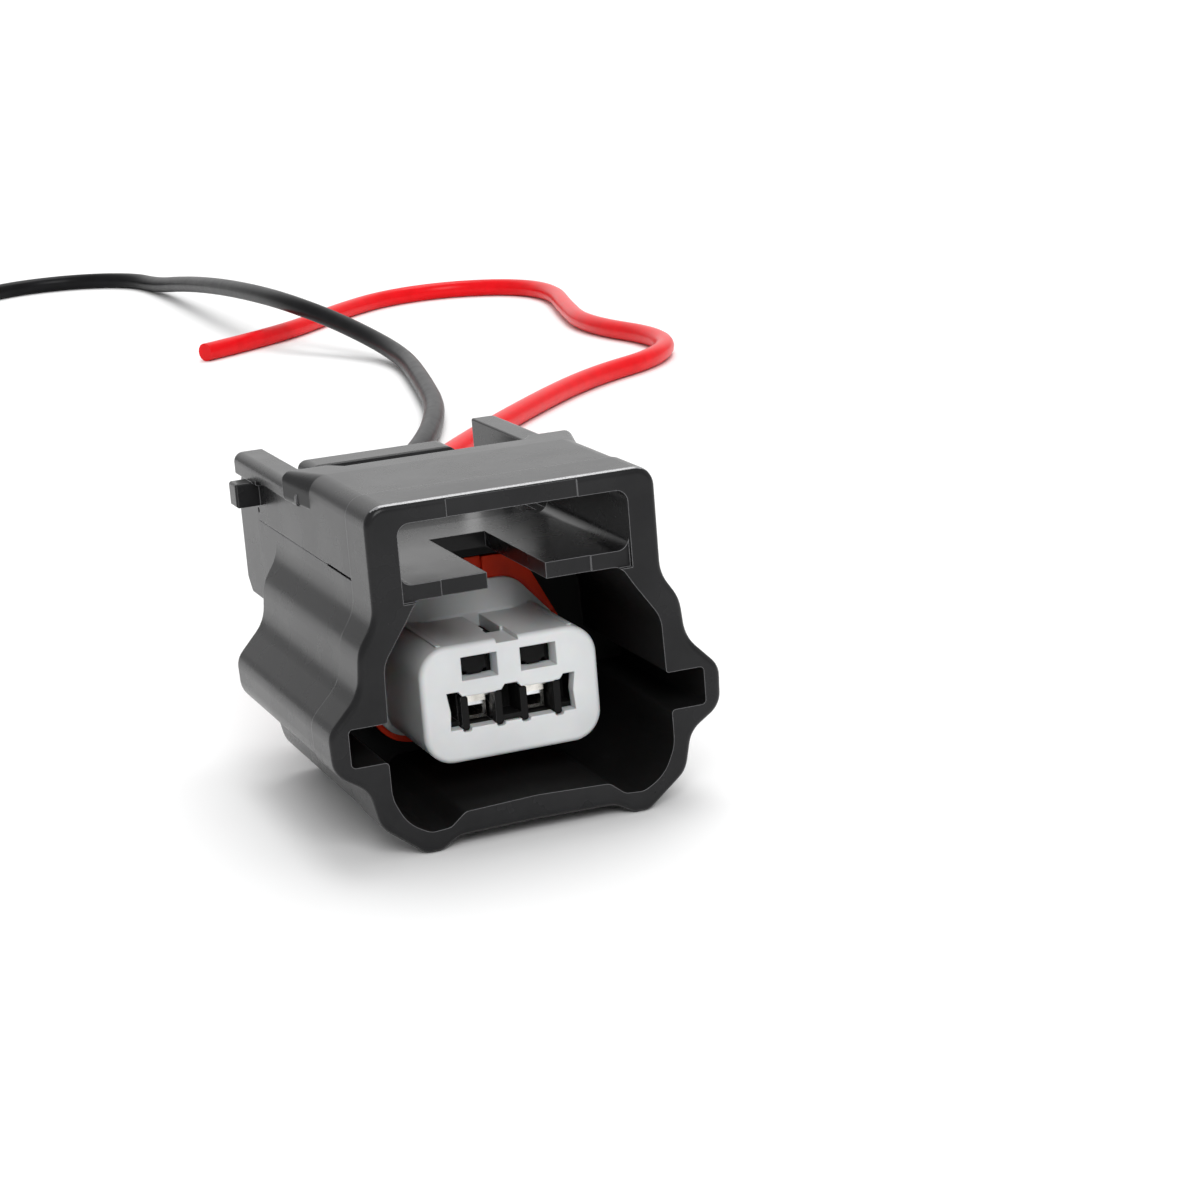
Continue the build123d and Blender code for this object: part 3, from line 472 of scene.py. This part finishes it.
# the two loose wires, on the same points as their solids, in mm
wires = {
    "black": {
        "length": 369,
        "coat": blackCoat,
        "points": [
            (-2.13, 1.15, 8.15), (-2.13, 27, 8.15), (2, 55, 1.3), (14, 84, 1.3), (32, 110, 1.3),
            (44.5, 138, 1.3), (50.5, 163, 1.3), (55.5, 187, 1.3), (52, 203, 4.4), (47.2, 214, 6.9),
            (46, 231, 6.9), (46.3, 254, 5.6), (46.8, 278, 3.6), (46.8, 299, 1.3), (45.3, 311, 1.3),
            (37.2, 319.4, 1.3), (25.5, 320.3, 1.3), (16, 312.5, 1.3), (9.5, 304, 1.3),
        ],
    },
    "red": {
        "length": 341,
        "coat": redCoat,
        "points": [
            (2.13, 1.15, 8.15), (2.13, 27, 8.15), (7, 55, 1.3), (18, 83, 1.3), (34.5, 109, 1.3),
            (52.5, 131.5, 1.3), (68, 148.5, 1.3), (82, 157, 1.3), (88.5, 171, 1.3), (84.5, 192, 1.3),
            (89, 211.5, 1.3), (93.5, 228, 1.3), (92, 240, 1.3), (83.3, 247.4, 1.3), (72, 247, 1.3),
            (61.5, 238.2, 1.3), (47.5, 221.7, 1.3), (34, 213.7, 1.3),
        ],
    },
}
wireDiameter = 2.6  # mm
for colour, wire in wires.items():
    data = bpy.data.curves.new(f"insulated_wire_{colour}", "CURVE")
    data.dimensions = "3D"
    data.bevel_depth = wireDiameter / 2 * mm
    data.bevel_resolution = 6
    data.use_fill_caps = True
    spline = data.splines.new("NURBS")
    spline.points.add(len(wire["points"]) - 1)
    for point, spot in zip(spline.points, wire["points"]):
        point.co = (*[value * mm for value in spot], 1)
    spline.order_u = 3
    spline.use_endpoint_u = True
    spline.resolution_u = 12
    data.materials.append(wire["coat"])
    piece = bpy.data.objects.new(f"insulated_wire_{colour}", data)
    scene.collection.objects.link(piece)
    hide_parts(f"wire_{colour}")
    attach(piece, "root")
print("wires laid")


# white photo studio: matt pale floor, white all round, one soft lamp overhead and one in front
studio = {
    "floor": 8.0,  # m
    "floorDrop": 0.02,  # mm below the wires, so that they don't share a plane with it
    "floorColour": "f8f8f8",
    "room": 0.5,  # brightness of the white room
    "panel": 1.15,  # and of the bright panel behind the plug, which the roof mirrors
    "panelFrom": (0.25, 0.85, 0.46),
    "panelEdge": (0.75, 0.95),  # cosines from its middle where it starts and where it is full
}
floorMaterial, floorTree = newMaterial("Matt white paper, backdrop")
paperShader = addNode(
    floorTree, "ShaderNodeBsdfPrincipled", {},
    {"Base Color": toLinear(studio["floorColour"]), "Roughness": 0.7, "Specular IOR Level": 0.2},
)
addNode(floorTree, "ShaderNodeOutputMaterial", {}, {}, {"Surface": paperShader.outputs["BSDF"]})
bpy.ops.mesh.primitive_plane_add(size=studio["floor"], location=(0, 0, -studio["floorDrop"] * mm))
floor = bpy.context.object
floor.name = "studio_floor"
floor.data.materials.append(floorMaterial)

sky = bpy.data.worlds.new("white_studio")
sky.use_nodes = True
sky.node_tree.nodes.clear()
looking = addNode(sky.node_tree, "ShaderNodeTexCoord").outputs["Generated"]
towards = addNode(
    sky.node_tree, "ShaderNodeVectorMath", {"operation": "DOT_PRODUCT"},
    {1: studio["panelFrom"]}, {0: looking},
)
panel = addNode(
    sky.node_tree, "ShaderNodeMapRange", {"interpolation_type": "SMOOTHSTEP"},
    {
        "From Min": studio["panelEdge"][0], "From Max": studio["panelEdge"][1],
        "To Min": studio["room"], "To Max": studio["panel"],
    },
    {"Value": towards.outputs["Value"]},
)
# what the camera itself sees of the room is plain white
seen = addNode(sky.node_tree, "ShaderNodeLightPath").outputs["Is Camera Ray"]
strength = addNode(
    sky.node_tree, "ShaderNodeMath", {"operation": "MAXIMUM"}, {},
    {0: panel.outputs["Result"], 1: seen},
)
glow = addNode(
    sky.node_tree, "ShaderNodeBackground", {}, {"Color": (1, 1, 1, 1)},
    {"Strength": strength.outputs["Value"]},
)
addNode(sky.node_tree, "ShaderNodeOutputWorld", {}, {}, {"Surface": glow.outputs["Background"]})
scene.world = sky

lamps = {
    "overheadSoftbox": {"from": (0.23, 0.28, 0.93), "strength": 1.3, "softness": 36},  # for the edges
    "frontSoftbox": {"from": (-0.12, -0.78, 0.61), "strength": 1.5, "softness": 30},  # into the hood
}
for name, lamp in lamps.items():
    data = bpy.data.lights.new(name, "SUN")
    data.energy = lamp["strength"]
    data.angle = radians(lamp["softness"])
    light = bpy.data.objects.new(name, data)
    light.rotation_euler = (-Vector(lamp["from"])).to_track_quat("-Z", "Y").to_euler()
    scene.collection.objects.link(light)
scene.view_settings.view_transform = "Standard"
print("studio lit")
